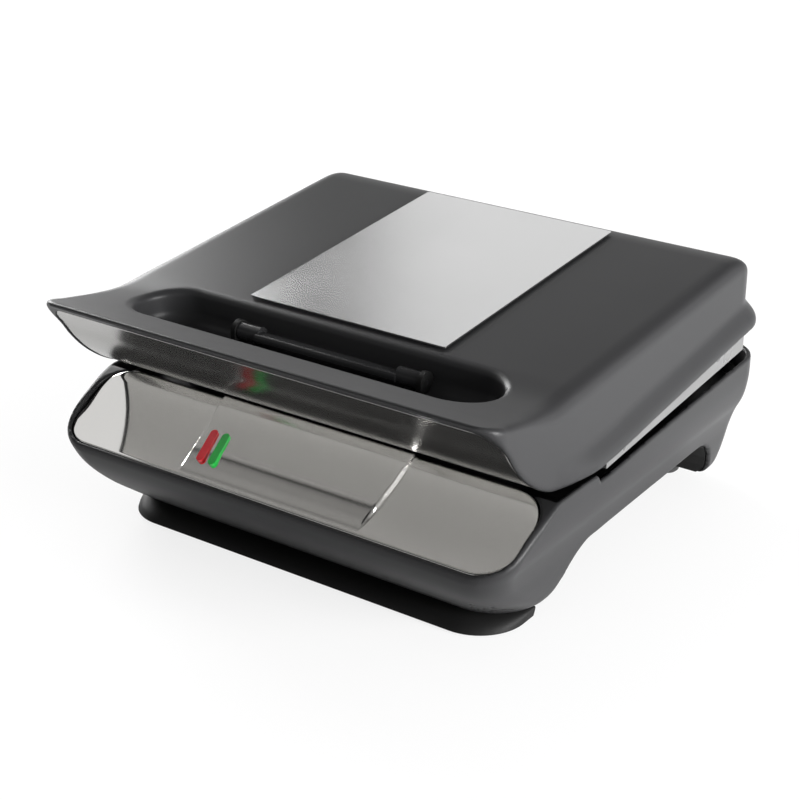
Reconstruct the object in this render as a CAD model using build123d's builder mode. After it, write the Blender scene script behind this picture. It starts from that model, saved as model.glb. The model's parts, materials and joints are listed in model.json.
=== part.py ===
from build123d import *
from math import atan2, cos, degrees, hypot, radians, sin, tan
import os

# Contact grill with a floating hinged lid, in millimetres.
# Frame: +X to the viewer's right, +Y to the rear, +Z up. The origin is on the
# table, at the middle of the whole grill seen from above.

# Overall shape of the two housings
wall = 2.5                  # moulded wall of both housings
lid_half_width = 147.0      # lid side wall to the middle plane
rim_flare = 5.0             # how far the rims stand out past the lid's walls
front_y = -147.0            # foremost edge of the lid's lip
rear_y = 147.0              # rearmost edge of the lid's rim
lid_rear_y = 141.0          # rear wall of the lid
rim_corner_radius = 30.0    # plan radius of the lid's flared rim at the rear
body_corner_radius = 25.0   # plan radius of the lid's walls at the rear
lip_corner_radius = 14.0    # plan radius of the lid's lip
side_shoulder = 12.0        # rounding of the lid's top along the sides
rear_shoulder = 35.0        # rounding of the lid's top along the rear
rim_band = 5.0              # height of the flared band
fit = 0.3                   # gap between pieces that only lie in each other
overshoot = 30.0            # how far cutting bodies run past what they cut

# Lid levels
plate_front_y = -63.0       # front edge of the metal top plate
plate_front_z = 134.0       # lid surface under that edge
top_tilt = 4.42             # slope of the lid's top, in degrees
valley_y = -85.0            # where the top turns up into the lip
lip_z = 141.2               # top of the lip
lip_tip_z = 139.6           # foremost point of the lip's nose
lip_under_z = 138.0         # lower edge of the lip's nose
lip_nose = 2.5              # depth of that rounded nose
lid_rim_front_y = -43.0
lid_rim_front_z = 82.4      # underside of the lid's side rim, in front
lid_rim_rear_z = 103.0      # underside of the lid's side rim, at the rear
lid_chin_y = -78.0          # where the lid's underside levels out
lid_chin_z = 82.6
valley_under_z = 84.2       # underside of the lip below the valley

# Base levels
parting_z = 7.5             # lower edge of the base housing, on the feet
base_lip_y = -141.0         # foremost edge of the base
base_lip_z = 55.0
base_rim_z = 80.4           # rim of the base beside the mouth
base_rim_front_y = -85.0
notch_y = -50.0             # step in the side rim
notch_z = 75.8
base_rim_rear_z = 83.0
base_rear_corner = 22.0     # plan radius of the base at the rear
arch_z = 34.5               # underside between the front belly and the rear feet
arch_front_y = -41.0
arch_rear_y = 84.0
rear_foot_front_y = 115.0
skirt_z = 1.0               # lower edge of the bottom cover's skirt, clear of the table
skirt_margin = 22.0         # how far the skirt's sides lie inside the base's rim
skirt_front_y = -112.0
skirt_rear_y = -74.0
skirt_corner_radius = 28.0
skirt_wall = 4.0

# Metal top plate
top_plate_width = 130.0
top_plate_depth = 175.4
top_plate_thickness = 1.0
top_plate_pocket = 0.6
top_plate_corner = 1.5

# Grip recess in the lid behind the lip
recess_half_width = 116.0
recess_front_y = -115.0
recess_rear_y = -71.0
recess_floor_z = 113.0
recess_corner_radius = 21.0

# Cooking plates
cook_side_margin = 22.0     # from the lid's side wall in to the cooking plates
cook_half_width = lid_half_width - cook_side_margin
cook_front_y = -60.0
cook_rear_y = 118.0
cook_slab = 6.0
cook_corner_radius = 12.0
rib_height = 4.0
rib_width = 4.0
rib_pitch = 11.0
rib_margin = 14.0
lower_slab_z = 66.0         # underside of the lower slab
plate_gap = 4.0             # between the ribs with the lid shut
web = 2.0                   # sheet of the inner liners
liner_lip_z = 83.5          # underside of the lid liner's skirt, in front
liner_lip_rise = 0.03       # rise of that skirt per millimetre to the rear
liner_front_y = -70.0
liner_rear_y = 127.0
tongue_reach = 1.5          # how far the liner's tongue stays inside the lid's rim
tongue_front_y = -40.0
tongue_rear_y = 118.0
tongue_front_z = 79.2       # underside of that tongue, in front
tongue_rear_z = 91.8        # underside of that tongue, at the rear
ledge_front_y = -96.0       # front of the base liner, at the glossy panel

# Heating elements and their pans
element_radius = 3.2
element_side_margin = 30.0  # from the cooking plate's side in to the element
element_half_width = cook_half_width - element_side_margin
element_front_y = -35.0
element_rear_y = 86.0
element_bend = 8.0
element_gap = 0.1
element_leg_x = 30.0
element_leg = 12.0          # length of the legs that leave the pan
pan_sheet = 0.8
pan_depth = 12.0
pan_side_margin = 13.0      # from the cooking plate's side in to the pan
pan_half_width = cook_half_width - pan_side_margin
pan_front_y = -50.0
pan_rear_y = 104.0
pan_lap = 4.0               # how far the liner's web laps over the pan
pan_hole = 4.5

# Glossy panel on the base's lip
panel_margin = 6.0          # how far the panel's ends lie inside the base's rim
panel_front_y = -137.5
panel_front_z = 55.5
panel_rear_y = -95.0
panel_rear_z = 77.5
panel_sheet = 2.5
panel_dish = 2.0
panel_corner_radius = 19.5
panel_rear_corner = 4.0
panel_room = 1.5            # free depth behind the panel in its opening
raised_half_width = 64.0
raised_foot_half_width = 60.0
raised_height = 2.6
lens_length = 21.8
lens_width = 4.6
lens_proud = 1.2
red_lens_x = -52.8
green_lens_x = -44.6
lens_lean = 8.6             # lean of the lenses in the panel, in degrees
lens_drop = 1.7             # how far the lenses sit below the panel's middle line
lamp_radius = 2.0
lamp_length = 17.0
holder_depth = 9.0
holder_half_width = 11.0
holder_margin = 3.0

# Glossy panel under the lid's lip
lid_panel_sheet = 2.2
lid_panel_inset = 1.2

# Hinge: pins that float in upright slots of the base's brackets
hinge_x = 98.0
hinge_y = 130.0
hinge_z = 103.0
float_travel = 12.0
pin_radius = 2.5
pin_length = 15.0
running_gap = 0.05
lug_thickness = 6.0
lug_depth = 12.0
lug_foot_z = 45.0
lug_foot_top_z = 78.0
lug_foot_width = 20.0
lug_cap = 3.7               # metal left above the slot
block_depth = 7.0
block_height = 10.0
ear_thickness = 3.5
ear_gap = 0.5
ear_radius = 7.0
ear_top = 16.0
hinge_notch = 12.0          # height of the notches in the lid's rear wall
hinge_notch_gap = 2.0
lead_notch = 14.0           # how much wider the notches are for the leads

# Latch lever lying in the grip recess
latch_y = -77.0
latch_z = 119.0
hub_radius = 5.0
hub_inner_x = 46.0
hub_outer_x = 60.0
bar_depth = 8.0
bar_height = 5.0
bar_round = 2.0
ear_plate = 3.0
latch_ear_radius = 6.0
latch_pin_radius = 1.5
latch_pin_length = 8.0
hook_x = 53.0
hook_thickness = 4.0
hook_depth = 5.0
hook_toe_z = 59.0
hook_toe_height = 3.0
hook_toe_reach = 4.0
hook_gap = 1.0
striker_gap = 2.0           # released hooks stand this far behind the striker
hook_slot_front = 14.0      # room for the hook's toe ahead of the lever's axis
striker_half_width = 62.0
striker_sheet = 2.0

# Small parts inside
post_radius = 4.0
lid_post = (lid_half_width - 14.0, -50.0, 105.0)
base_post_front = (lid_half_width - 29.0, -80.0)
base_post_rear = (78.0, 122.0)
plate_screw_x = 78.0
plate_screw_front_y = -55.0
plate_screw_rear_y = 110.0
screw_radius = 1.7
screw_head_radius = 3.4
screw_head_height = 2.2
screw_length = 12.0
plate_screw_length = 6.0
thermostat_radius = 9.0
thermostat_height = 7.0
thermostat_y = 20.0
fuse_radius = 2.6
fuse_length = 24.0
fuse_x = 45.0
terminal_size = (40.0, 12.0, 14.0)
terminal_y = 122.0
terminal_hole = 1.8
gland_x = 60.0
gland_z = 30.0
gland_flange = 9.0
gland_neck = 6.5
gland_bore = 3.6
gland_length = 3.0
clamp_size = (26.0, 8.0, 9.0)
clamp_y = 120.0
wire_radius = 1.3
wire_bend = 5.0
wire_hinge_x = 84.0
foot_radius = 8.0
front_foot = (lid_half_width - 42.0, -84.0)
rear_foot = (104.0, 123.0)

os.makedirs("parts", exist_ok=True)

top_slope = tan(radians(top_tilt))
rim_half_width = lid_half_width + rim_flare
panel_half_width = rim_half_width - panel_margin
skirt_half_width = rim_half_width - skirt_margin
cover_top_z = parting_z + wall
lower_top_z = lower_slab_z + cook_slab + rib_height
upper_rib_z = lower_top_z + plate_gap
upper_web_z = upper_rib_z + rib_height + cook_slab
lower_web_z = lower_slab_z - web
panel_rise = panel_rear_z - panel_front_z
panel_run = panel_rear_y - panel_front_y
panel_angle = atan2(panel_rise, panel_run)
panel_length = hypot(panel_run, panel_rise)
panel_seat_depth = panel_dish + panel_sheet + panel_room
panel_middle = ((panel_front_y + panel_rear_y) / 2, (panel_front_z + panel_rear_z) / 2)
panel_face = Plane(
    origin=(0, panel_middle[0], panel_middle[1]),
    x_dir=(1, 0, 0),
    z_dir=(0, -sin(panel_angle), cos(panel_angle)),
)
panel_side = Plane(
    origin=(0, panel_middle[0], panel_middle[1]),
    x_dir=(0, cos(panel_angle), sin(panel_angle)),
    z_dir=(1, 0, 0),
)
top_face_plane = Plane(
    origin=(0, plate_front_y, plate_front_z),
    x_dir=(1, 0, 0),
    z_dir=(0, -sin(radians(top_tilt)), cos(radians(top_tilt))),
)

rim_slope = (lid_rim_rear_z - lid_rim_front_z) / (lid_rear_y - lid_rim_front_y)


def lid_top(y):
    """Height of the lid's flat top at y."""
    return plate_front_z + (y - plate_front_y) * top_slope


def lid_rim(y):
    """Height of the underside of the lid's side rim at y."""
    return lid_rim_front_z + (y - lid_rim_front_y) * rim_slope


# The lip's upper side edges: depth, top and rounding of the edge
lip_stations = [
    (valley_y, lid_top(valley_y), side_shoulder),
    (-100.0, 133.3, 9.0),
    (-128.0, 137.6, 5.0),
]

# Plans of the base housing from the floor up: height, half width, front, rear, front radius
base_levels = [
    (parting_z, rim_half_width - 21.0, -98.5, 135.0, 30.0),
    (13.0, rim_half_width - 16.0, -105.8, 138.5, 31.0),
    (20.0, rim_half_width - 13.5, -114.8, 139.8, 28.0),
    (28.0, rim_half_width - 11.5, -124.5, 140.4, 24.0),
    (40.0, rim_half_width - 9.0, -135.0, 141.2, 20.0),
    (50.0, rim_half_width - 6.0, -139.8, 142.2, 19.0),
    (58.0, rim_half_width - 2.5, base_lip_y, 143.2, 20.0),
    (68.0, rim_half_width - 0.5, base_lip_y, 143.8, 22.0),
    (78.0, rim_half_width, base_lip_y, 144.0, 22.0),
    (88.0, rim_half_width, base_lip_y, 144.0, 22.0),
]
inlet_level = 4             # the level that the cord's gland and the brackets seat on
seat_level = 6              # the level that the base's liner fits into

# Rim of the base seen from the side, from the lip to the rear
base_rim = [
    (base_lip_y - 1.0, base_lip_z - 1.0),
    (-126.0, 63.0),
    (-115.6, 69.0),
    (-105.0, 73.6),
    (-97.0, 76.7),
    (base_rim_front_y, base_rim_z),
    (notch_y - 2.0, base_rim_z),
    (notch_y, notch_z),
    (rear_y + 1.0, base_rim_rear_z),
]

# Underside of the base seen from the side, from the front belly to the rear feet
base_underside = [
    (-72.0, parting_z),
    (-66.0, 13.0),
    (-60.0, 19.0),
    (-55.0, 26.0),
    (-48.0, 31.5),
    (arch_front_y, arch_z),
    (arch_rear_y, arch_z + 4.0),
    (94.0, 36.5),
    (102.0, 31.0),
    (108.5, 22.0),
    (112.5, 14.0),
    (rear_foot_front_y, parting_z),
]


def block(low, high, mode=Mode.ADD):
    """Plain box given by its lowest and highest corner."""
    middle = [(a + b) / 2 for a, b in zip(low, high)]
    size = [b - a for a, b in zip(low, high)]
    with Locations(tuple(middle)):
        Box(*size, mode=mode)


def bar(start, end, radius, mode=Mode.ADD):
    """Round bar between two points."""
    reach = Vector(*end) - Vector(*start)
    with Locations(Plane(origin=Vector(*start) + reach / 2, z_dir=reach)):
        Cylinder(radius, reach.length, mode=mode)


def screw(x, y, seat_z, length, way):
    """Pan head screw whose head sits on seat_z and whose shank runs along way."""
    bar((x, y, seat_z), (x, y, seat_z + way * length), screw_radius)
    bar((x, y, seat_z), (x, y, seat_z - way * screw_head_height), screw_head_radius)


def hole(x, y, low_z, high_z):
    """Screw hole with its running gap."""
    bar((x, y, low_z), (x, y, high_z), screw_radius + running_gap, mode=Mode.SUBTRACT)


def four_corners(x, y_front, y_rear):
    """The four places that lie at x to both sides and at two depths."""
    return [(side * x, y) for side in (-1, 1) for y in (y_front, y_rear)]


def wire(points):
    """Insulated lead along straight runs joined by bends."""
    with BuildPart() as lead:
        with BuildLine() as route:
            FilletPolyline(*points, radius=wire_bend)
        with BuildSketch(Plane(origin=points[0], z_dir=route.line % 0)):
            Circle(wire_radius)
        sweep()
    return lead.part


def slab(points, half_width):
    """Closed side profile of (y, z) points, drawn out to both sides."""
    with BuildPart() as solid:
        with BuildSketch(Plane.YZ):
            with BuildLine():
                Polyline(*points, close=True)
            make_face()
        extrude(amount=half_width, both=True)
    return solid.part


def rounded_plan(half_width, y_front, y_rear, front_radius, rear_radius):
    """Face seen from above: a rectangle with its own front and rear radii."""
    with BuildSketch(Plane.XY) as plan:
        with BuildLine():
            Polyline(
                (-half_width, y_front),
                (half_width, y_front),
                (half_width, y_rear),
                (-half_width, y_rear),
                close=True,
            )
        make_face()
        fillet(plan.vertices().group_by(Axis.Y)[0], front_radius)
        fillet(plan.vertices().group_by(Axis.Y)[-1], rear_radius)
    return plan.sketch


def lid_plan(inset):
    """Plan of the lid: straight sides and round corners."""
    return rounded_plan(
        lid_half_width - inset,
        front_y + inset,
        lid_rear_y - inset,
        lip_corner_radius - inset / 2,
        body_corner_radius - inset,
    )


def lid_underside(inset):
    """Lower outline of the lid's lip, from its nose back to the valley."""
    lift = inset * 0.7
    Spline(
        (front_y + lip_nose + inset, lip_under_z - inset * 0.2),
        (-130.3 + lift, 121.2 + lift),
        (-116.6 + lift, 103.6 + lift),
        (-98.8 + lift, 89.6 + lift),
        (valley_y, valley_under_z + inset),
        tangents=[(0.62, -1.0), (1.0, -0.28)],
    )


def lid_body(inset, drop):
    """Lid behind the valley, moved inward by inset, with its underside lowered by drop."""
    rear = lid_rear_y - inset
    with BuildPart() as body:
        with BuildSketch(Plane.YZ):
            with BuildLine():
                Polyline(
                    (valley_y, lid_top(valley_y) - inset),
                    (valley_y, valley_under_z - drop),
                    (lid_chin_y, lid_chin_z - drop),
                    (lid_rim_front_y, lid_rim_front_z - drop),
                    (rear, lid_rim_rear_z - drop),
                    (rear, lid_top(rear) - inset),
                    close=True,
                )
            make_face()
        extrude(amount=rim_half_width, both=True)
        rear_top = edges().filter_by(Axis.X).group_by(Axis.Y)[-1].sort_by(Axis.Z)[-1]
        fillet(rear_top, rear_shoulder - inset)
        with BuildSketch(Plane.XZ.offset(-valley_y), mode=Mode.PRIVATE) as arch:
            with Locations((0, lid_top(valley_y) - inset - rim_half_width / 2)):
                Rectangle(2 * (lid_half_width - inset), rim_half_width)
            fillet(arch.vertices().group_by(Axis.Y)[-1], side_shoulder - inset)
        extrude(
            arch.sketch,
            amount=rear_y - front_y,
            dir=(0, 1, top_slope),
            mode=Mode.INTERSECT,
        )
    return body.part


def shoulder_cut(side, inset):
    """Tapering cut that runs the lid's side rounding out along the lip, moved in by inset."""
    with BuildPart() as cut:
        half = lid_half_width - inset
        for y, outer_top, radius in lip_stations:
            top = outer_top - inset
            with BuildSketch(Plane.XZ.offset(-y)):
                with BuildLine():
                    turn = radius * (1 - cos(radians(45)))
                    Polyline(
                        (side * (half - radius), top),
                        (side * (half - radius), top + 2 * wall),
                        (side * (half + 2 * wall), top + 2 * wall),
                        (side * (half + 2 * wall), top - radius),
                        (side * half, top - radius),
                    )
                    ThreePointArc(
                        (side * half, top - radius),
                        (side * (half - turn), top - turn),
                        (side * (half - radius), top),
                    )
                make_face()
        loft()
    return cut.part


def base_body(inset, low_z):
    """Solid of the base's outer form, moved inward by inset, from low_z up."""
    with BuildPart() as body:
        for height, half_width, y_front, y_rear, corner in base_levels:
            with BuildSketch(Plane.XY.offset(height)):
                add(rounded_plan(
                    half_width - inset,
                    y_front + inset,
                    y_rear - inset,
                    corner,
                    base_rear_corner,
                ))
        loft()
        if low_z < parting_z:
            extrude(body.faces().sort_by(Axis.Z)[0], amount=parting_z - low_z)
    return body.part


def panel_outline(inset):
    """Outline of the glossy panel in its own plane, moved inward by inset."""
    half_length = panel_length / 2 - inset
    return rounded_plan(
        panel_half_width - inset,
        -half_length,
        half_length,
        panel_corner_radius - inset,
        panel_rear_corner - inset,
    )


def skirt_form(inset):
    """Solid inside the bottom cover's skirt, moved inward by inset."""
    with BuildPart() as form:
        for height, half_width, y_front, corner in skirt_levels:
            with BuildSketch(Plane.XY.offset(height)):
                add(rounded_plan(half_width - inset, y_front + inset, 0.0, corner, wall))
        loft()
    return form.part


def rim_ring(half_width, y_fade, y_full, y_rear, hollow):
    """Flat ring for a flared rim that fades out towards the front."""
    with BuildSketch(Plane.XY) as ring:
        with BuildLine():
            Polyline(
                (-half_width + 6.0, y_fade),
                (half_width - 6.0, y_fade),
                (half_width, y_full),
                (half_width, y_rear),
                (-half_width, y_rear),
                (-half_width, y_full),
                close=True,
            )
        make_face()
        fillet(ring.vertices().group_by(Axis.Y)[-1], rim_corner_radius)
        add(hollow, mode=Mode.SUBTRACT)
    return ring.sketch


def pan(floor_z, way):
    """Shallow sheet pan behind a heating element, open along way."""
    mouth_z = floor_z + way * pan_depth
    low, high = sorted((floor_z, mouth_z))
    with BuildPart() as tray:
        block((-pan_half_width, pan_front_y, low), (pan_half_width, pan_rear_y, high))
        edge = pan_half_width - pan_sheet
        inner_low, inner_high = sorted((floor_z + way * pan_sheet, mouth_z + way))
        block(
            (-edge, pan_front_y + pan_sheet, inner_low),
            (edge, pan_rear_y - pan_sheet, inner_high),
            mode=Mode.SUBTRACT,
        )
        for side in (-1, 1):
            x = side * element_leg_x
            bar((x, element_rear_y, low - 1), (x, element_rear_y, high + 1), pan_hole, Mode.SUBTRACT)
    return tray.part


def element(centre_z, way):
    """Tubular heating element: one flat loop with two legs along way."""
    leg_z = centre_z + way * element_leg
    points = [
        (-element_leg_x, element_rear_y, leg_z),
        (-element_leg_x, element_rear_y, centre_z),
        (-element_half_width, element_rear_y, centre_z),
        (-element_half_width, element_front_y, centre_z),
        (element_half_width, element_front_y, centre_z),
        (element_half_width, element_rear_y, centre_z),
        (element_leg_x, element_rear_y, centre_z),
        (element_leg_x, element_rear_y, leg_z),
    ]
    with BuildPart() as tube:
        with BuildLine() as route:
            FilletPolyline(*points, radius=element_bend)
        with BuildSketch(Plane(origin=points[0], z_dir=route.line % 0)):
            Circle(element_radius)
        sweep()
    return tube.part


def cooking_plate(slab_z, way):
    """Ribbed cooking plate whose slab starts at slab_z and whose ribs point along way."""
    low, high = sorted((slab_z, slab_z + way * cook_slab))
    face_z = slab_z + way * cook_slab
    rib_low, rib_high = sorted((face_z, face_z + way * rib_height))
    rib_count = int((2 * cook_half_width - 2 * rib_margin) / rib_pitch) + 1
    rib_span = (rib_count - 1) * rib_pitch
    with BuildPart() as plate:
        with BuildSketch(Plane.XY.offset(low)):
            add(rounded_plan(
                cook_half_width, cook_front_y, cook_rear_y, cook_corner_radius, cook_corner_radius
            ))
        extrude(amount=high - low)
        for index in range(rib_count):
            x = index * rib_pitch - rib_span / 2
            block(
                (x - rib_width / 2, cook_front_y + rib_margin, rib_low),
                (x + rib_width / 2, cook_rear_y - rib_margin, rib_high),
            )
        with BuildSketch(Plane.XY.offset(rib_low)):
            add(rounded_plan(
                cook_half_width, cook_front_y, cook_rear_y, cook_corner_radius, cook_corner_radius
            ))
            add(rounded_plan(
                cook_half_width - web,
                cook_front_y + web,
                cook_rear_y - web,
                cook_corner_radius - web,
                cook_corner_radius - web,
            ), mode=Mode.SUBTRACT)
        extrude(amount=rib_height)
        for x, y in four_corners(plate_screw_x, plate_screw_front_y, plate_screw_rear_y):
            depth_low, depth_high = sorted((slab_z - way, slab_z + way * (cook_slab - 1.0)))
            hole(x, y, depth_low, depth_high)
    return plate.part


def thermostat(seat_z, way):
    """Snap disc thermostat pressed against a cooking plate, with two tabs."""
    low, high = sorted((seat_z, seat_z + way * thermostat_height))
    with BuildPart() as switch:
        bar((0, thermostat_y, low), (0, thermostat_y, high), thermostat_radius)
        for side in (-1, 1):
            tab_low, tab_high = sorted((seat_z + way, seat_z + way * 3.0))
            block(
                (side * thermostat_radius - 7.0, thermostat_y - 3.0, tab_low),
                (side * thermostat_radius + 7.0, thermostat_y + 3.0, tab_high),
            )
    return switch.part


def export(part, label):
    """Label a finished piece and write it out."""
    part.label = label
    export_step(part, f"parts/{label}.step")


# Lid housing: side profile and plan give the form, then it is hollowed
with BuildPart() as lid_form:
    with BuildSketch(Plane.YZ):
        with BuildLine():
            lid_underside(0.0)
            Line((valley_y, valley_under_z), (valley_y, lid_top(valley_y)))
            Spline(
                *[(y, top) for y, top, radius in lip_stations],
                (front_y + lip_nose, lip_z),
                tangents=[(-1.0, -top_slope), (-1.0, 0.25)],
            )
            ThreePointArc(
                (front_y + lip_nose, lip_z),
                (front_y, lip_tip_z),
                (front_y + lip_nose, lip_under_z),
            )
        make_face()
    extrude(amount=rim_half_width, both=True)
    extrude(lid_plan(0.0), amount=lip_z + overshoot, mode=Mode.INTERSECT)
    for side in (-1, 1):
        add(shoulder_cut(side, 0.0), mode=Mode.SUBTRACT)
    add(extrude(lid_plan(0.0), amount=lip_z + overshoot, mode=Mode.PRIVATE) & lid_body(0.0, 0.0))

lip_space = slab(
    [
        (front_y, lip_under_z - 0.1),
        (-140.0, lip_under_z - 0.1),
        (lip_stations[2][0], lip_stations[2][1] - wall),
        (lip_stations[1][0], lip_stations[1][1] - wall),
        (valley_y, lid_top(valley_y) - wall),
        (valley_y, valley_under_z - overshoot),
        (front_y, valley_under_z - overshoot),
    ],
    rim_half_width,
)
lip_hollow = lip_space - shoulder_cut(-1, wall) - shoulder_cut(1, wall)
lid_core = extrude(lid_plan(wall), amount=lip_z + overshoot)
lid_band = slab(
    [
        (lid_chin_y, lid_chin_z),
        (lid_rim_front_y, lid_rim_front_z),
        (rear_y, lid_rim(rear_y)),
        (rear_y, lid_rim(rear_y) + rim_band),
        (lid_rim_front_y, lid_rim_front_z + rim_band),
        (lid_chin_y, lid_chin_z + rim_band),
    ],
    rim_half_width,
)
lid_ring = extrude(
    rim_ring(rim_half_width, lid_chin_y, lid_rim_front_y - 10.0, rear_y, lid_plan(wall / 2)),
    amount=lip_z,
)

with BuildPart() as lid_cover:
    add(lid_form.part)
    add(lip_hollow & lid_core, mode=Mode.SUBTRACT)
    add(lid_body(wall, overshoot) & lid_core, mode=Mode.SUBTRACT)
    add(lid_band & lid_ring)
    with BuildSketch(Plane.XY.offset(recess_floor_z - wall), mode=Mode.PRIVATE) as tub:
        with Locations((0, (recess_front_y + recess_rear_y) / 2)):
            RectangleRounded(
                2 * (recess_half_width + wall),
                recess_rear_y - recess_front_y + 2 * wall,
                recess_corner_radius + wall,
            )
    tub_solid = extrude(tub.sketch, amount=overshoot * 2, mode=Mode.PRIVATE)
    add(tub_solid & lid_form.part)
    with BuildSketch(Plane.XY.offset(recess_floor_z)):
        with Locations((0, (recess_front_y + recess_rear_y) / 2)):
            RectangleRounded(
                2 * recess_half_width,
                recess_rear_y - recess_front_y,
                recess_corner_radius,
            )
    extrude(amount=overshoot * 2, mode=Mode.SUBTRACT)
    for x, y in four_corners(*lid_post):
        bar((x, y, upper_web_z + web), (x, y, lid_top(y) - wall + 0.6), post_radius)
        hole(x, y, upper_web_z - 1.0, upper_web_z + web + screw_length)
    with BuildSketch(top_face_plane.offset(-top_plate_pocket)):
        with Locations((0, top_plate_depth / 2)):
            RectangleRounded(
                top_plate_width + 2 * fit, top_plate_depth + 2 * fit, top_plate_corner + fit
            )
    extrude(amount=overshoot, mode=Mode.SUBTRACT)
    for side in (-1, 1):
        block(
            (
                side * hook_x - hook_thickness / 2 - hook_gap,
                latch_y - hook_depth / 2 - hook_gap * 4,
                recess_floor_z - wall - 1.0,
            ),
            (
                side * hook_x + hook_thickness / 2 + hook_gap,
                latch_y + hook_depth / 2 + hook_gap * 2,
                recess_floor_z + 1.0,
            ),
            mode=Mode.SUBTRACT,
        )
        notch_half = lug_thickness / 2 + ear_gap + ear_thickness + hinge_notch_gap
        notch_near = side * (hinge_x - notch_half - lead_notch)
        notch_far = side * (hinge_x + notch_half)
        block(
            (min(notch_near, notch_far), hinge_y, lid_rim_rear_z - 6.0),
            (max(notch_near, notch_far), rear_y + 1.0, hinge_z + hinge_notch),
            mode=Mode.SUBTRACT,
        )
export(lid_cover.part, "lid_cover")

# Metal plate set into the lid's top
with BuildPart() as top_plate:
    with BuildSketch(top_face_plane.offset(-top_plate_pocket)):
        with Locations((0, top_plate_depth / 2)):
            RectangleRounded(top_plate_width, top_plate_depth, top_plate_corner)
    extrude(amount=top_plate_thickness)
export(top_plate.part, "top_plate")

# Glossy panel that closes the underside of the lip
with BuildPart() as lid_front_panel:
    with BuildSketch(Plane.YZ):
        with BuildLine():
            lid_underside(lid_panel_inset)
            Line(
                (valley_y, valley_under_z + lid_panel_inset),
                (valley_y, valley_under_z + lid_panel_inset + lid_panel_sheet),
            )
            lid_underside(lid_panel_inset + lid_panel_sheet)
            Line(
                (front_y + lip_nose + lid_panel_inset, lip_under_z - lid_panel_inset * 0.2),
                (
                    front_y + lip_nose + lid_panel_inset + lid_panel_sheet,
                    lip_under_z - (lid_panel_inset + lid_panel_sheet) * 0.2,
                ),
            )
        make_face()
    extrude(amount=lid_half_width, both=True)
    extrude(lid_plan(wall + fit), amount=lip_z + overshoot, mode=Mode.INTERSECT)
    block(
        (-lid_half_width, latch_y - hook_slot_front, 0),
        (lid_half_width, 0, lip_z),
        mode=Mode.SUBTRACT,
    )
export(lid_front_panel.part, "lid_front_panel")

# Liner that holds the upper cooking plate in the lid
liner_skirt = slab(
    [
        (liner_front_y - 1.0, liner_lip_z - 1.0),
        (liner_rear_y + 1.0, liner_lip_z - 1.0 + (liner_rear_y - liner_front_y) * liner_lip_rise),
        (liner_rear_y + 1.0, upper_web_z + web),
        (liner_front_y - 1.0, upper_web_z + web),
    ],
    lid_half_width,
)
liner_half = lid_half_width - wall - fit
tongue_strip = slab(
    [
        (tongue_front_y, tongue_front_z),
        (tongue_rear_y, tongue_rear_z),
        (tongue_rear_y, lid_rim(tongue_rear_y) - fit),
        (tongue_front_y, lid_rim(tongue_front_y) - fit),
    ],
    rim_half_width - tongue_reach,
)
with BuildPart() as lid_liner:
    with BuildSketch(Plane.XY):
        add(rounded_plan(liner_half, liner_front_y, liner_rear_y, 4.0, 16.0))
        add(rounded_plan(
            liner_half - web, liner_front_y + web, liner_rear_y - web, 3.0, 14.0
        ), mode=Mode.SUBTRACT)
    extrude(amount=lip_z)
    add(liner_skirt, mode=Mode.INTERSECT)
    add(tongue_strip)
    block(
        (-liner_half + web, tongue_front_y - 1.0, 0),
        (liner_half - web, tongue_rear_y + 1.0, lip_z),
        mode=Mode.SUBTRACT,
    )
    with BuildSketch(Plane.XY.offset(upper_web_z)):
        add(rounded_plan(liner_half, liner_front_y, liner_rear_y, 4.0, 16.0))
        add(rounded_plan(
            pan_half_width - pan_lap, pan_front_y + pan_lap, pan_rear_y - pan_lap, 6.0, 6.0
        ), mode=Mode.SUBTRACT)
    extrude(amount=web)
    for x, y in four_corners(*lid_post):
        hole(x, y, upper_web_z - 1.0, upper_web_z + web + 1.0)
    for x, y in four_corners(plate_screw_x, plate_screw_front_y, plate_screw_rear_y):
        hole(x, y, upper_web_z - 1.0, upper_web_z + web + 1.0)
    for side in (-1, 1):
        block(
            (side * hinge_x - lug_thickness - ear_thickness, hinge_y - lug_depth, 0),
            (side * hinge_x + lug_thickness + ear_thickness, rear_y, lip_z),
            mode=Mode.SUBTRACT,
        )
export(lid_liner.part, "lid_liner")

export(cooking_plate(upper_web_z, -1), "upper_grill_plate")
upper_element_z = upper_web_z + element_gap + element_radius
export(element(upper_element_z, 1), "upper_heating_element")
export(pan(upper_web_z + web + pan_depth, -1), "upper_reflector_pan")

# Screws of the lid: four hold the liner, four the cooking plate
with BuildPart() as lid_screws:
    for x, y in four_corners(*lid_post):
        screw(x, y, upper_web_z, screw_length, 1)
export(lid_screws.part, "lid_screws")
with BuildPart() as upper_plate_screws:
    for x, y in four_corners(plate_screw_x, plate_screw_front_y, plate_screw_rear_y):
        screw(x, y, upper_web_z + web, plate_screw_length, -1)
export(upper_plate_screws.part, "upper_plate_screws")

# Thermal fuse in its sleeve on the upper plate
with BuildPart() as thermal_fuse:
    fuse_z = upper_web_z + element_gap + fuse_radius
    bar(
        (fuse_x, thermostat_y - fuse_length / 2, fuse_z),
        (fuse_x, thermostat_y + fuse_length / 2, fuse_z),
        fuse_radius,
    )
export(thermal_fuse.part, "thermal_fuse")

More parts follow.
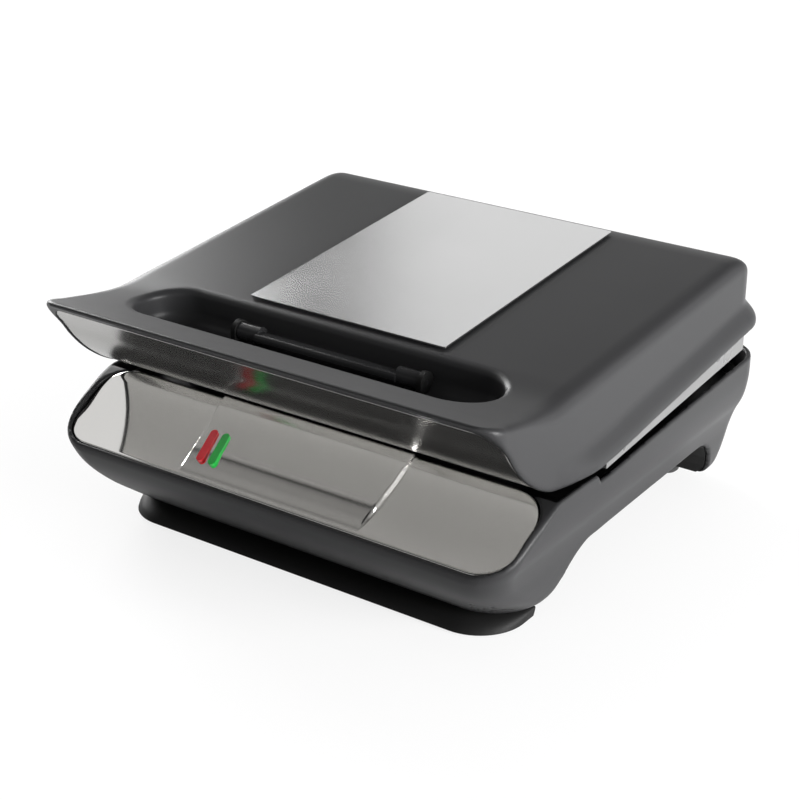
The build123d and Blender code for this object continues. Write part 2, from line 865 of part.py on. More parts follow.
# Leads that run in the lid from the element to the right hinge
lid_lead_y = element_rear_y
lid_lead_z = upper_element_z + element_leg + 0.3
with BuildPart() as lid_leads:
    for side, height in ((-1, 12.0), (1, 6.0)):
        add(wire([
            (side * element_leg_x, lid_lead_y, lid_lead_z),
            (side * element_leg_x, lid_lead_y, lid_lead_z + height),
            (wire_hinge_x - 3.0 * side, lid_lead_y + 24.0, lid_lead_z + height),
            (wire_hinge_x - 3.0 * side, hinge_y, lid_lead_z + height),
            (wire_hinge_x - 3.0 * side, hinge_y, hinge_z + 2.2),
        ]))
export(lid_leads.part, "lid_leads")

# Ears of the lid that the hinge pins turn in
ear_inner = lug_thickness / 2 + ear_gap
with BuildPart() as hinge_ears:
    for side in (-1, 1):
        for way in (-1, 1):
            near = side * hinge_x + way * ear_inner
            far = near + way * ear_thickness
            low_x, high_x = sorted((near, far))
            bar((low_x, hinge_y, hinge_z), (high_x, hinge_y, hinge_z), ear_radius)
            block(
                (low_x, hinge_y - ear_radius, hinge_z),
                (high_x, lid_rear_y - wall, hinge_z + ear_top),
            )
            bar(
                (low_x - 1.0, hinge_y, hinge_z),
                (high_x + 1.0, hinge_y, hinge_z),
                pin_radius + running_gap,
                mode=Mode.SUBTRACT,
            )
            block(
                (low_x - 1.0, hinge_y + ear_radius, hinge_z - ear_radius),
                (high_x + 1.0, lid_rear_y, hinge_z + hinge_notch),
                mode=Mode.SUBTRACT,
            )
    add(lid_body(wall + fit, overshoot), mode=Mode.INTERSECT)
export(hinge_ears.part, "hinge_ears")

# Hinge pins and the slide blocks that let the lid float
with BuildPart() as hinge_pins:
    for side in (-1, 1):
        x = side * hinge_x
        bar((x - pin_length / 2, hinge_y, hinge_z), (x + pin_length / 2, hinge_y, hinge_z), pin_radius)
export(hinge_pins.part, "hinge_pins")
with BuildPart() as slide_blocks:
    for side in (-1, 1):
        x = side * hinge_x
        half = lug_thickness / 2 + ear_gap / 2
        block(
            (x - half, hinge_y - block_depth / 2, hinge_z - block_height / 2),
            (x + half, hinge_y + block_depth / 2, hinge_z + block_height / 2),
        )
        bar((x - half - 1, hinge_y, hinge_z), (x + half + 1, hinge_y, hinge_z), pin_radius, Mode.SUBTRACT)
export(slide_blocks.part, "slide_blocks")

# Brackets of the base with the upright slots
slot_low_z = hinge_z - block_height / 2 - running_gap
slot_high_z = hinge_z + float_travel + block_height / 2 + fit
bracket_rear_y = base_levels[inlet_level][3] - wall - fit
with BuildPart() as hinge_brackets:
    for side in (-1, 1):
        x = side * hinge_x
        block(
            (x - lug_thickness / 2, hinge_y - lug_depth / 2, lug_foot_z),
            (x + lug_thickness / 2, hinge_y + lug_depth / 2, slot_high_z + lug_cap),
        )
        block(
            (x - lug_foot_width / 2, hinge_y + lug_depth / 2 - 1.0, lug_foot_z),
            (x + lug_foot_width / 2, bracket_rear_y, lug_foot_top_z),
        )
        block(
            (x - lug_thickness, hinge_y - block_depth / 2 - running_gap, slot_low_z),
            (x + lug_thickness, hinge_y + block_depth / 2 + running_gap, slot_high_z),
            mode=Mode.SUBTRACT,
        )
export(hinge_brackets.part, "hinge_brackets")

# Latch ears and pins on the lid, and the lever between them
with BuildPart() as latch_ears:
    for side in (-1, 1):
        inner = side * (hub_outer_x + ear_gap)
        low_x, high_x = sorted((inner, inner + side * ear_plate))
        bar((low_x, latch_y, latch_z), (high_x, latch_y, latch_z), latch_ear_radius)
        block(
            (low_x, latch_y - latch_ear_radius, recess_floor_z),
            (high_x, latch_y + latch_ear_radius, latch_z),
        )
        bar((low_x - 1, latch_y, latch_z), (high_x + 1, latch_y, latch_z), latch_pin_radius, Mode.SUBTRACT)
export(latch_ears.part, "latch_ears")
with BuildPart() as latch_pins:
    for side in (-1, 1):
        outer = side * (hub_outer_x + ear_gap + ear_plate)
        bar((outer, latch_y, latch_z), (outer - side * latch_pin_length, latch_y, latch_z), latch_pin_radius)
export(latch_pins.part, "latch_pins")
with BuildPart() as latch_lever:
    with BuildSketch(Plane.YZ):
        with Locations((latch_y - bar_depth / 2 + 2.0, latch_z)):
            RectangleRounded(bar_depth, bar_height, bar_round)
    extrude(amount=hub_inner_x + 1.0, both=True)
    for side in (-1, 1):
        x = side * hook_x
        bar((side * hub_inner_x, latch_y, latch_z), (side * hub_outer_x, latch_y, latch_z), hub_radius)
        block(
            (x - hook_thickness / 2, latch_y - hook_depth / 2, hook_toe_z),
            (x + hook_thickness / 2, latch_y + hook_depth / 2, latch_z),
        )
        block(
            (x - hook_thickness / 2, latch_y - hook_depth / 2 - hook_toe_reach, hook_toe_z),
            (x + hook_thickness / 2, latch_y, hook_toe_z + hook_toe_height),
        )
        bar(
            (side * (hub_outer_x + 1.0), latch_y, latch_z),
            (side * (hub_outer_x + ear_gap + ear_plate - latch_pin_length - 0.5), latch_y, latch_z),
            latch_pin_radius + running_gap,
            mode=Mode.SUBTRACT,
        )
export(latch_lever.part, "latch_lever")

# Base housing: the tapered tub, cut to its rim and to its arched underside
above_rim = slab(
    base_rim + [(rear_y + 1.0, lip_z), (base_lip_y - 20.0, lip_z), (base_lip_y - 20.0, base_lip_z - 1.0)],
    rim_half_width + overshoot,
)
below_arch = slab(
    [(base_underside[0][0], -1.0)] + base_underside + [(rear_foot_front_y, -1.0)],
    rim_half_width + overshoot,
)
base_inner = base_body(wall, -overshoot)
panel_seat = slab(
    base_rim[:5] + [(y, z - wall) for y, z in reversed(base_rim[:5])],
    rim_half_width,
)
with BuildPart() as base_shell:
    add(base_body(0.0, parting_z))
    add(base_inner, mode=Mode.SUBTRACT)
    add(above_rim, mode=Mode.SUBTRACT)
    add(panel_seat & base_body(wall / 2, parting_z))
    with BuildSketch(panel_face.offset(-panel_seat_depth)):
        add(panel_outline(-fit))
    extrude(amount=overshoot, mode=Mode.SUBTRACT)
    add(below_arch, mode=Mode.SUBTRACT)
    bar(
        (gland_x, rear_y, gland_z),
        (gland_x, rear_y - overshoot, gland_z),
        gland_neck + running_gap * 4,
        mode=Mode.SUBTRACT,
    )
export(base_shell.part, "base_shell")

# Bottom cover that closes the base between its side walls, with its dark skirt in front
cover_path = [(skirt_front_y, parting_z)] + base_underside + [(rear_y, parting_z)]
bottom_sheet = slab(
    cover_path + [(y, z + wall) for y, z in reversed(cover_path)],
    rim_half_width,
)
bottom_half, bottom_front, bottom_corner = (base_levels[0][index] for index in (1, 2, 4))
skirt_levels = [
    (skirt_z, skirt_half_width, skirt_front_y, skirt_corner_radius),
    (4.5, skirt_half_width + 0.8, -108.5, 29.0),
    (parting_z - fit, bottom_half, bottom_front, bottom_corner),
]
with BuildPart() as bottom_cover:
    add(skirt_form(0.0))
    add(skirt_form(skirt_wall), mode=Mode.SUBTRACT)
    with BuildSketch(Plane.XY.offset(parting_z - 2 * fit)):
        for inset, mode in ((wall + fit, Mode.ADD), (skirt_wall, Mode.SUBTRACT)):
            add(rounded_plan(
                bottom_half - inset, bottom_front + inset, 0.0, bottom_corner, wall
            ), mode=mode)
    extrude(amount=3 * fit)
    block((-rim_half_width, skirt_rear_y, 0), (rim_half_width, wall, cover_top_z), mode=Mode.SUBTRACT)
    add(bottom_sheet & base_body(wall + fit, parting_z))
    for side in (-1, 1):
        for x, y in (base_post_front, base_post_rear):
            hole(side * x, y, parting_z - 1.0, parting_z + wall + 1.0)
export(bottom_cover.part, "bottom_cover")


# Glossy dished panel with its raised middle, and the two lamp lenses
def dished_strip(low, high):
    """Strip that follows the panel's dish between two heights above its face."""
    half = panel_length / 2
    with BuildPart() as strip:
        with BuildSketch(panel_side):
            with BuildLine():
                ThreePointArc((-half, high), (0, high - panel_dish), (half, high))
                Line((half, high), (half, low))
                ThreePointArc((half, low), (0, low - panel_dish), (-half, low))
                Line((-half, low), (-half, high))
            make_face()
        extrude(amount=panel_half_width, both=True)
    return strip.part


def lens_slot(x, length, width, low, high):
    """Oblong prism through the panel at one lamp."""
    with BuildPart() as slot:
        with BuildSketch(panel_face.offset(low)):
            with Locations(Location((x, -lens_drop), 90 + lens_lean)):
                SlotOverall(length, width)
        extrude(amount=high - low)
    return slot.part


with BuildPart() as base_front_panel:
    add(dished_strip(-panel_sheet, 0.0))
    with BuildSketch(panel_face.offset(-overshoot)):
        add(panel_outline(0.0))
    extrude(amount=2 * overshoot, mode=Mode.INTERSECT)
    with BuildSketch(panel_face.offset(-panel_dish - 1.0), mode=Mode.PRIVATE) as middle:
        with BuildLine():
            Polyline(
                (-raised_foot_half_width, -panel_length / 2),
                (raised_foot_half_width, -panel_length / 2),
                (raised_half_width, panel_length / 2),
                (-raised_half_width, panel_length / 2),
                close=True,
            )
        make_face()
    wedge = extrude(middle.sketch, amount=overshoot, mode=Mode.PRIVATE)
    add(wedge & dished_strip(-0.5, raised_height))
    for x in (red_lens_x, green_lens_x):
        add(lens_slot(x, lens_length + fit, lens_width + fit, -overshoot, overshoot), mode=Mode.SUBTRACT)
export(base_front_panel.part, "base_front_panel")

lens_top = raised_height - panel_dish + lens_proud
lens_floor = -panel_dish - panel_sheet
export(lens_slot(red_lens_x, lens_length, lens_width, lens_floor, lens_top), "red_lamp_lens")
export(lens_slot(green_lens_x, lens_length, lens_width, lens_floor, lens_top), "green_lamp_lens")

# Holder behind the lenses with the two neon lamps
holder_x = (red_lens_x + green_lens_x) / 2
with BuildPart() as lamp_holder:
    with BuildSketch(panel_face.offset(lens_floor - fit - holder_depth)):
        with Locations((holder_x, -lens_drop)):
            Rectangle(2 * holder_half_width, lens_length + 2 * holder_margin)
    extrude(amount=holder_depth)
    for x in (red_lens_x, green_lens_x):
        add(
            lens_slot(x, lens_length - 2.0, lens_width + 1.0, lens_floor - fit - holder_depth + 1.5, 0.0),
            mode=Mode.SUBTRACT,
        )
export(lamp_holder.part, "lamp_holder")
lamp_z = lens_floor - fit - holder_depth + 1.5 + lamp_radius
with BuildPart() as neon_lamps:
    for x in (red_lens_x, green_lens_x):
        lamp_place = Location((x, -lens_drop, 0), (0, 0, lens_lean))
        with Locations(panel_face.offset(lamp_z).location * lamp_place):
            Cylinder(lamp_radius, lamp_length, rotation=(90, 0, 0))
export(neon_lamps.part, "neon_lamps")

# Liner that carries the lower cooking plate, with the slots for the latch hooks
base_liner_half = base_levels[seat_level][1] - wall - fit
base_liner_rear = base_levels[seat_level][3] - wall - fit
with BuildPart() as base_liner:
    with BuildSketch(Plane.XY.offset(lower_web_z)):
        add(rounded_plan(base_liner_half, ledge_front_y, base_liner_rear, 4.0, 22.0))
        add(rounded_plan(
            pan_half_width - pan_lap, pan_front_y + pan_lap, pan_rear_y - pan_lap, 6.0, 6.0
        ), mode=Mode.SUBTRACT)
    extrude(amount=web)
    with BuildSketch(Plane.XY.offset(lower_web_z)):
        add(rounded_plan(base_liner_half, ledge_front_y, base_liner_rear, 4.0, 22.0))
        add(rounded_plan(
            base_liner_half - web, ledge_front_y + web, base_liner_rear - web, 3.0, 20.0
        ), mode=Mode.SUBTRACT)
    extrude(amount=notch_z - 3.0 - lower_web_z)
    for side in (-1, 1):
        for post_x, post_y in (base_post_front, base_post_rear):
            x = side * post_x
            bar((x, post_y, parting_z + wall), (x, post_y, lower_web_z), post_radius)
            hole(x, post_y, parting_z, parting_z + wall + screw_length)
        block(
            (
                side * hook_x - hook_thickness / 2 - 2 * hook_gap,
                latch_y - hook_slot_front,
                lower_web_z - 1.0,
            ),
            (side * hook_x + hook_thickness / 2 + 2 * hook_gap, latch_y + 9.0, lower_slab_z + 1.0),
            mode=Mode.SUBTRACT,
        )
        block(
            (side * hinge_x - lug_foot_width / 2 - 1.0, hinge_y - lug_depth / 2 - 1.0, lower_web_z - 1.0),
            (side * hinge_x + lug_foot_width / 2 + 1.0, rear_y, notch_z),
            mode=Mode.SUBTRACT,
        )
    for x, y in four_corners(plate_screw_x, plate_screw_front_y, plate_screw_rear_y):
        hole(x, y, lower_web_z - 1.0, lower_slab_z + 1.0)
    bar(
        (wire_hinge_x, hinge_y, lower_web_z - 1.0),
        (wire_hinge_x, hinge_y, lower_slab_z + 1.0),
        6.0,
        mode=Mode.SUBTRACT,
    )
export(base_liner.part, "base_liner")

# Steel striker on the ledge, for the hooks of the latch
striker_rear_y = latch_y - hook_depth / 2 - hook_toe_reach - striker_gap
with BuildPart() as latch_striker:
    block(
        (-striker_half_width, ledge_front_y + web + fit, lower_slab_z),
        (striker_half_width, striker_rear_y, lower_slab_z + striker_sheet),
    )
export(latch_striker.part, "latch_striker")

export(cooking_plate(lower_slab_z, 1), "lower_grill_plate")
export(element(lower_slab_z - element_gap - element_radius, -1), "lower_heating_element")
export(pan(lower_web_z - pan_depth, 1), "lower_reflector_pan")
export(thermostat(lower_slab_z - element_gap, -1), "thermostat")

with BuildPart() as lower_plate_screws:
    for x, y in four_corners(plate_screw_x, plate_screw_front_y, plate_screw_rear_y):
        screw(x, y, lower_web_z, plate_screw_length, 1)
export(lower_plate_screws.part, "lower_plate_screws")
with BuildPart() as bottom_screws:
    for side in (-1, 1):
        for x, y in (base_post_front, base_post_rear):
            screw(side * x, y, parting_z, screw_length, 1)
export(bottom_screws.part, "bottom_screws")

# Wiring of the base: terminal block, leads, gland and clamp for the cord
with BuildPart() as terminal_block:
    block(
        (-terminal_size[0] / 2, terminal_y - terminal_size[1] / 2, cover_top_z),
        (terminal_size[0] / 2, terminal_y + terminal_size[1] / 2, cover_top_z + terminal_size[2]),
    )
    with Locations(Plane.XY.offset(cover_top_z + terminal_size[2])):
        with Locations((0, terminal_y)):
            with GridLocations(12.0, 6.0, 3, 2):
                Hole(terminal_hole, depth=6.0)
export(terminal_block.part, "terminal_block")

terminal_top_z = cover_top_z + terminal_size[2]
lower_leg_z = lower_slab_z - element_gap - element_radius - element_leg - 0.3
with BuildPart() as base_leads:
    for side in (-1, 1):
        add(wire([
            (side * element_leg_x, element_rear_y, lower_leg_z),
            (side * element_leg_x, element_rear_y, lower_leg_z - 6.0),
            (side * 17.0, terminal_y, terminal_top_z + 9.0),
            (side * 17.0, terminal_y, terminal_top_z + 0.3),
        ]))
        add(wire([
            (side * 5.0, terminal_y, terminal_top_z + 0.3),
            (side * 5.0, terminal_y, terminal_top_z + 16.0 - 4.0 * side),
            (wire_hinge_x + 3.0 * side, hinge_y, terminal_top_z + 22.0 - 4.0 * side),
            (wire_hinge_x + 3.0 * side, hinge_y, hinge_z - 2.2),
        ]))
export(base_leads.part, "base_leads")

with BuildPart() as cord_gland:
    rear_face = base_levels[inlet_level][3] + fit
    bar((gland_x, rear_face, gland_z), (gland_x, rear_face + gland_length, gland_z), gland_flange)
    bar((gland_x, rear_face - 8.0, gland_z), (gland_x, rear_face + gland_length, gland_z), gland_neck)
    bar(
        (gland_x, rear_face - 9.0, gland_z),
        (gland_x, rear_face + gland_length + 1.0, gland_z),
        gland_bore,
        mode=Mode.SUBTRACT,
    )
export(cord_gland.part, "cord_gland")

with BuildPart() as cord_clamp:
    block(
        (gland_x - clamp_size[0] / 2, clamp_y - clamp_size[1] / 2, cover_top_z),
        (gland_x + clamp_size[0] / 2, clamp_y + clamp_size[1] / 2, cover_top_z + clamp_size[2]),
    )
export(cord_clamp.part, "cord_clamp")

# Rubber feet
with BuildPart() as rubber_feet:
    for side in (-1, 1):
        for x, y in (front_foot, rear_foot):
            bar((side * x, y, 0), (side * x, y, parting_z), foot_radius)
    chamfer(rubber_feet.faces().filter_by(Axis.Z).group_by(Axis.Z)[0].edges(), 1.0)
export(rubber_feet.part, "rubber_feet")
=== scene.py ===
import functools
import json
import math

import bmesh
import bpy
import numpy as np
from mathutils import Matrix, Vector


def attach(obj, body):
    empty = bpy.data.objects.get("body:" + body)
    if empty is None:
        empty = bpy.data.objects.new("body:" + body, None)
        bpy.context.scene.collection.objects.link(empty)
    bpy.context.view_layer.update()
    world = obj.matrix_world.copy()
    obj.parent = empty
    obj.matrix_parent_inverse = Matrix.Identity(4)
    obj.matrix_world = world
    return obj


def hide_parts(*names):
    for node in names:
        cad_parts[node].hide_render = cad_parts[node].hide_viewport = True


# The whole scene is in the frame that the CAD model uses. Shapes are worked out
# in millimetres and written in metres.
MM = 0.001
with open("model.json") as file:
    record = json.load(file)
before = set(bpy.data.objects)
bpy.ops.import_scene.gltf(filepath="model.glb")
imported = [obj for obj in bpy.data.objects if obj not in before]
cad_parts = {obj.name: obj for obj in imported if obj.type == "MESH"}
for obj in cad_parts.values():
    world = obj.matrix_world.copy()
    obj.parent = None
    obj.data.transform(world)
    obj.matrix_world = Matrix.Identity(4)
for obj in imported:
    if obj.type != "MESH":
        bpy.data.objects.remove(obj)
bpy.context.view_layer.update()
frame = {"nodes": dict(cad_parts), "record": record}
nodes = frame["nodes"]


# Curves and rounded combinations

def smooth(value, low, high):
    """Soft step from 0 at low to 1 at high."""
    t = np.clip((value - low) / (high - low), 0.0, 1.0)
    return t * t * (3.0 - 2.0 * t)


def curve(points):
    """Smooth function through (position, value) points, straight past both ends."""
    xs = np.array([p[0] for p in points], float)
    ys = np.array([p[1] for p in points], float)
    steps = np.diff(ys) / np.diff(xs)
    slopes = np.concatenate(([steps[0]], (steps[:-1] + steps[1:]) / 2, [steps[-1]]))
    turning = np.sign(np.concatenate(([1], steps[:-1] * steps[1:], [1]))) <= 0
    slopes[turning] = 0.0

    def value(x):
        x = np.asarray(x, float)
        i = np.clip(np.searchsorted(xs, x) - 1, 0, len(xs) - 2)
        width = xs[i + 1] - xs[i]
        t = np.clip((x - xs[i]) / width, 0.0, 1.0)
        out = (
            ys[i] * (1 + 2 * t) * (1 - t) ** 2
            + ys[i + 1] * t * t * (3 - 2 * t)
            + slopes[i] * width * t * (1 - t) ** 2
            - slopes[i + 1] * width * t * t * (1 - t)
        )
        out = out + np.where(x < xs[0], (x - xs[0]) * slopes[0], 0.0)
        return out + np.where(x > xs[-1], (x - xs[-1]) * slopes[-1], 0.0)

    return value


def slope_of(function, x):
    """Slope of a function of one coordinate."""
    nudge = 0.1
    return (function(x + nudge) - function(x - nudge)) / (2 * nudge)


def both(a, b, radius):
    """Distance to what lies inside a and b, with a round edge of that radius."""
    outside = np.hypot(np.maximum(a + radius, 0.0), np.maximum(b + radius, 0.0))
    return np.minimum(np.maximum(a, b), -radius) + outside


def common(*shapes):
    """Distance to what lies inside every shape, with sharp edges."""
    return functools.reduce(np.maximum, shapes)


def slab(value, middle, half):
    """Distance to what lies within half of a middle value."""
    return np.abs(value - middle) - half


def plan(x, y, half, front, rear, radius):
    """Distance to a rounded rectangle seen from above."""
    return both(np.abs(x) - half, np.maximum(front - y, y - rear), radius)


# Surfaces

def finish_mesh(name, verts, faces):
    """Smooth mesh object from points in metres."""
    mesh = bpy.data.meshes.new(name)
    mesh.from_pydata([tuple(v) for v in verts], [], [tuple(int(i) for i in f) for f in faces])
    mesh.validate()
    work = bmesh.new()
    work.from_mesh(mesh)
    bmesh.ops.recalc_face_normals(work, faces=work.faces)
    work.to_mesh(mesh)
    work.free()
    mesh.polygons.foreach_set("use_smooth", [True] * len(mesh.polygons))
    obj = bpy.data.objects.new(name, mesh)
    bpy.context.collection.objects.link(obj)
    return obj


def cut_cells(inside):
    """Cells of the grid that the surface passes through, and a grid with their numbers."""
    shape = tuple(n - 1 for n in inside.shape)
    count = np.zeros(shape, np.int8)
    for i in (0, 1):
        for j in (0, 1):
            for k in (0, 1):
                count += inside[i:i + shape[0], j:j + shape[1], k:k + shape[2]]
    cells = np.argwhere((count > 0) & (count < 8))
    number = np.full(shape, -1, np.int64)
    number[tuple(cells.T)] = np.arange(len(cells))
    return cells, number


def cut_points(field, cells):
    """Mean place, in grid steps, where the surface cuts the edges of each cell."""
    total = np.zeros((len(cells), 3))
    hits = np.zeros(len(cells))
    for axis in range(3):
        u, v = [a for a in range(3) if a != axis]
        for du in (0, 1):
            for dv in (0, 1):
                start = cells.copy()
                start[:, u] += du
                start[:, v] += dv
                end = start.copy()
                end[:, axis] += 1
                a = field[tuple(start.T)]
                b = field[tuple(end.T)]
                cross = (a < 0) != (b < 0)
                t = np.where(cross, a / np.where(a == b, 1.0, a - b), 0.0)
                place = start.astype(float)
                place[:, axis] += t
                total += place * cross[:, None]
                hits += cross
    return total / hits[:, None]


def settle(points, distance, longest):
    """Points moved twice towards the surface, each time no further than the longest move."""
    nudge = 0.05
    least_slope = 0.05
    for _ in range(2):
        value = distance(*points.T)
        gradient = np.stack([
            distance(*(points + e).T) - distance(*(points - e).T)
            for e in np.eye(3) * nudge
        ], axis=1) / (2 * nudge)
        size = np.maximum((gradient ** 2).sum(axis=1), least_slope)
        move = -value[:, None] * gradient / size[:, None]
        length = np.linalg.norm(move, axis=1, keepdims=True)
        points = points + move * np.minimum(1.0, longest / np.maximum(length, 1e-9))
    return points


def cut_faces(inside, number):
    """Face of four cells around every grid edge that the surface cuts."""
    faces = []
    for axis in range(3):
        u, v = [a for a in range(3) if a != axis]
        first = [slice(None)] * 3
        second = [slice(None)] * 3
        first[axis] = slice(0, -1)
        second[axis] = slice(1, None)
        edges = np.argwhere(inside[tuple(first)] != inside[tuple(second)])
        keep = (edges[:, u] > 0) & (edges[:, v] > 0)
        keep &= (edges[:, u] < inside.shape[u] - 1) & (edges[:, v] < inside.shape[v] - 1)
        edges = edges[keep]
        ring = []
        for du, dv in ((-1, -1), (0, -1), (0, 0), (-1, 0)):
            cell = edges.copy()
            cell[:, u] += du
            cell[:, v] += dv
            ring.append(number[tuple(cell.T)])
        faces.append(np.stack(ring, axis=1))
    return np.concatenate(faces)


def skin(name, distance, low, high, step):
    """Closed surface where distance(x, y, z) is zero, in a box in millimetres."""
    axes = [np.arange(a, b + step, step) for a, b in zip(low, high)]
    field = distance(*np.meshgrid(*axes, indexing="ij")).astype(np.float32)
    inside = field < 0
    cells, number = cut_cells(inside)
    points = cut_points(field, cells) * step + np.array(low)
    points = settle(points, distance, 0.6 * step)
    return finish_mesh(name, points * MM, cut_faces(inside, number))


# Sheets: steps in a quarter round, space between rings, and how close points are one
corner_steps = 12
ring_gap = 1.2
merge_distance = 0.06


def rounded_path(a, b, radius, along, across):
    """Points around a rounded rectangle of half sizes a and b, with so many steps per side."""
    left, right = -(a - radius), a - radius
    low, high = -(b - radius), b - radius
    corners = (
        (right, high, 0.0, (left, b), along),
        (left, high, 90.0, (-a, low), across),
        (left, low, 180.0, (right, -b), along),
        (right, low, 270.0, (a, high), across),
    )
    path = []
    for x, y, begin, goal, count in corners:
        for k in range(corner_steps + 1):
            angle = math.radians(begin + 90.0 / corner_steps * k)
            path.append((x + radius * math.cos(angle), y + radius * math.sin(angle)))
        last = path[-1]
        for k in range(1, count):
            t = k / count
            path.append((last[0] + (goal[0] - last[0]) * t, last[1] + (goal[1] - last[1]) * t))
    return np.array(path)


def close_sheet(mesh):
    """Points that meet become one, and the slits left in the middle are filled."""
    work = bmesh.new()
    work.from_mesh(mesh)
    bmesh.ops.remove_doubles(work, verts=work.verts, dist=merge_distance * MM)
    bmesh.ops.holes_fill(work, edges=work.edges, sides=0)
    bmesh.ops.recalc_face_normals(work, faces=work.faces)
    work.to_mesh(mesh)
    work.free()
    mesh.polygons.foreach_set("use_smooth", [True] * len(mesh.polygons))


def sheet(name, half, start, end, corner, place, thickness, edge, pitch):
    """Closed sheet with a rounded outline. place(x, s, depth) gives its points."""
    middle = (start + end) / 2
    reach = (end - start) / 2
    inner = np.linspace(edge, reach - 0.02, int((reach - edge) / ring_gap) + 2)[1:]
    insets = [(0.0, thickness), (0.0, edge), (edge * 0.3, edge * 0.3), (edge, 0.0)]
    insets += [(float(inset), 0.0) for inset in inner]
    along = max(8, int((half - corner) * 2 / pitch))
    across = max(4, int((reach - corner) * 2 / pitch))
    front = []
    for inset, depth in insets:
        path = rounded_path(half - inset, reach - inset, max(corner - inset, 0.0), along, across)
        front.append((path, depth))
    back = [(path, thickness) for path, depth in front[3::2]]
    verts = [place(path[:, 0], middle + path[:, 1], depth) for path, depth in front + back]
    order = list(range(len(front) - 1, -1, -1)) + list(range(len(front), len(front) + len(back)))
    size = len(front[0][0])
    around = np.arange(size)
    after = (around + 1) % size
    faces = []
    for one, two in zip(order[:-1], order[1:]):
        corners = (one * size + around, one * size + after, two * size + after, two * size + around)
        faces.append(np.stack(corners, axis=1))
    obj = finish_mesh(name, np.concatenate(verts) * MM, np.concatenate(faces))
    close_sheet(obj.data)
    return obj


# Lid housing

wall = 2.5
skin_step = 1.3
lid_half = 147.0
lid_front = -147.0
lid_rear = 141.0
lid_front_corner = 14.0
lid_corner_growth = 8.0
lid_rear_shoulder = 35.0
lid_room_front = -142.0
lower_edge = 1.6
flare_width = 5.0
flare_rear_share = 1.2
recess_half = 116.5
recess_front = -115.0
recess_rear = -71.0
recess_corner = 21.5
recess_floor = 113.0
recess_bowl = 7.0
recess_edge = 4.5
lid_top = curve([
    (-160.0, 144.6), (-144.3, 141.2), (-128.0, 137.6), (-105.0, 133.9), (-85.0, 132.4),
    (-63.0, 134.0), (0.0, 138.87), (141.0, 149.77), (160.0, 151.24),
])
lid_bottom = curve([
    (-152.0, 141.6), (-147.0, 138.6), (-144.3, 136.9), (-141.6, 134.2), (-130.3, 121.2), (-124.5, 112.8),
    (-116.6, 103.6), (-108.7, 96.5), (-98.8, 89.6), (-88.8, 84.8), (-78.0, 82.7),
    (-63.0, 82.2), (-43.0, 82.6), (20.0, 89.7), (109.0, 99.7), (147.0, 103.6),
])

# Slots that the latch's hooks pass through, and notches around the hinge
hook_x = 53.0
hook_y = -78.0
hook_z = 112.0
hook_slot = (3.0, 5.5, 4.0)
notch_x = 91.0
notch_half = 16.0
notch_front = 130.0
notch_top = 115.0


def lid_rounding(y):
    """Radius of the lid's side shoulder: small at the lip's nose."""
    return 2.2 + 3.4 * smooth(y, -144.0, -128.0) + 5.4 * smooth(y, -128.0, -85.0)


def lid_block(outline, up, rear_gap, rounding, rear_rounding):
    """Lid between its outline and its top, with round shoulders at the sides and the rear."""
    return both(both(outline, up, rounding), both(rear_gap, up, rear_rounding), 5.0)


def lid_outside(x, y, z, up, front_corner, rounding):
    """Full block of the lid. Behind the lip its lower rim flares out."""
    bottom = lid_bottom(y)
    down = (bottom - z) / np.sqrt(1 + slope_of(lid_bottom, y) ** 2)
    flare = smooth(y, -88.0, -48.0) * (1.0 - smooth(z - bottom, 2.5, 17.0)) * flare_width
    outline = plan(x, y, lid_half + flare, lid_front, lid_rear + flare * flare_rear_share, front_corner)
    rear_gap = y - lid_rear - flare * flare_rear_share
    return both(lid_block(outline, up, rear_gap, rounding, lid_rear_shoulder), down, lower_edge)


def lid_room(x, y, z, up, front_corner, rounding, pocket):
    """Hollow of the lid, around the tub that the grip recess makes in it."""
    outline = plan(x, y, lid_half - wall, lid_room_front, lid_rear - wall, front_corner)
    rear_gap = y - lid_rear + wall
    inner_rounding = np.maximum(rounding - wall, 1.0)
    room = lid_block(outline, up + wall, rear_gap, inner_rounding, lid_rear_shoulder - wall)
    tub = common(pocket - wall, recess_floor - wall - z)
    return common(room, -tub)


def lid_distance(x, y, z):
    """Lid: a shell with the grip recess, two hook slots behind it and two hinge notches."""
    up = (z - lid_top(y)) / np.sqrt(1 + slope_of(lid_top, y) ** 2)
    front_corner = lid_front_corner + lid_corner_growth * smooth(y, -90.0, 0.0)
    rounding = lid_rounding(y)
    pocket = plan(x, y, recess_half, recess_front, recess_rear, recess_corner)
    recess = both(pocket, recess_floor - z, recess_bowl)
    solid = both(lid_outside(x, y, z, up, front_corner, rounding), -recess, recess_edge)
    room = lid_room(x, y, z, up, front_corner, rounding, pocket)
    slots = common(
        slab(np.abs(x), hook_x, hook_slot[0]),
        slab(y, hook_y, hook_slot[1]),
        slab(z, hook_z, hook_slot[2]),
    )
    notches = common(slab(np.abs(x), notch_x, notch_half), notch_front - y, z - notch_top)
    return common(solid, -room, -slots, -notches)


lid = skin("lid_housing", lid_distance, (-155.0, -150.0, 79.0), (155.0, 150.0, 152.5), skin_step)
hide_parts("lid_cover")
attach(lid, "lid")

# Base housing. Each level is its height, half width, front, rear and corner radius.

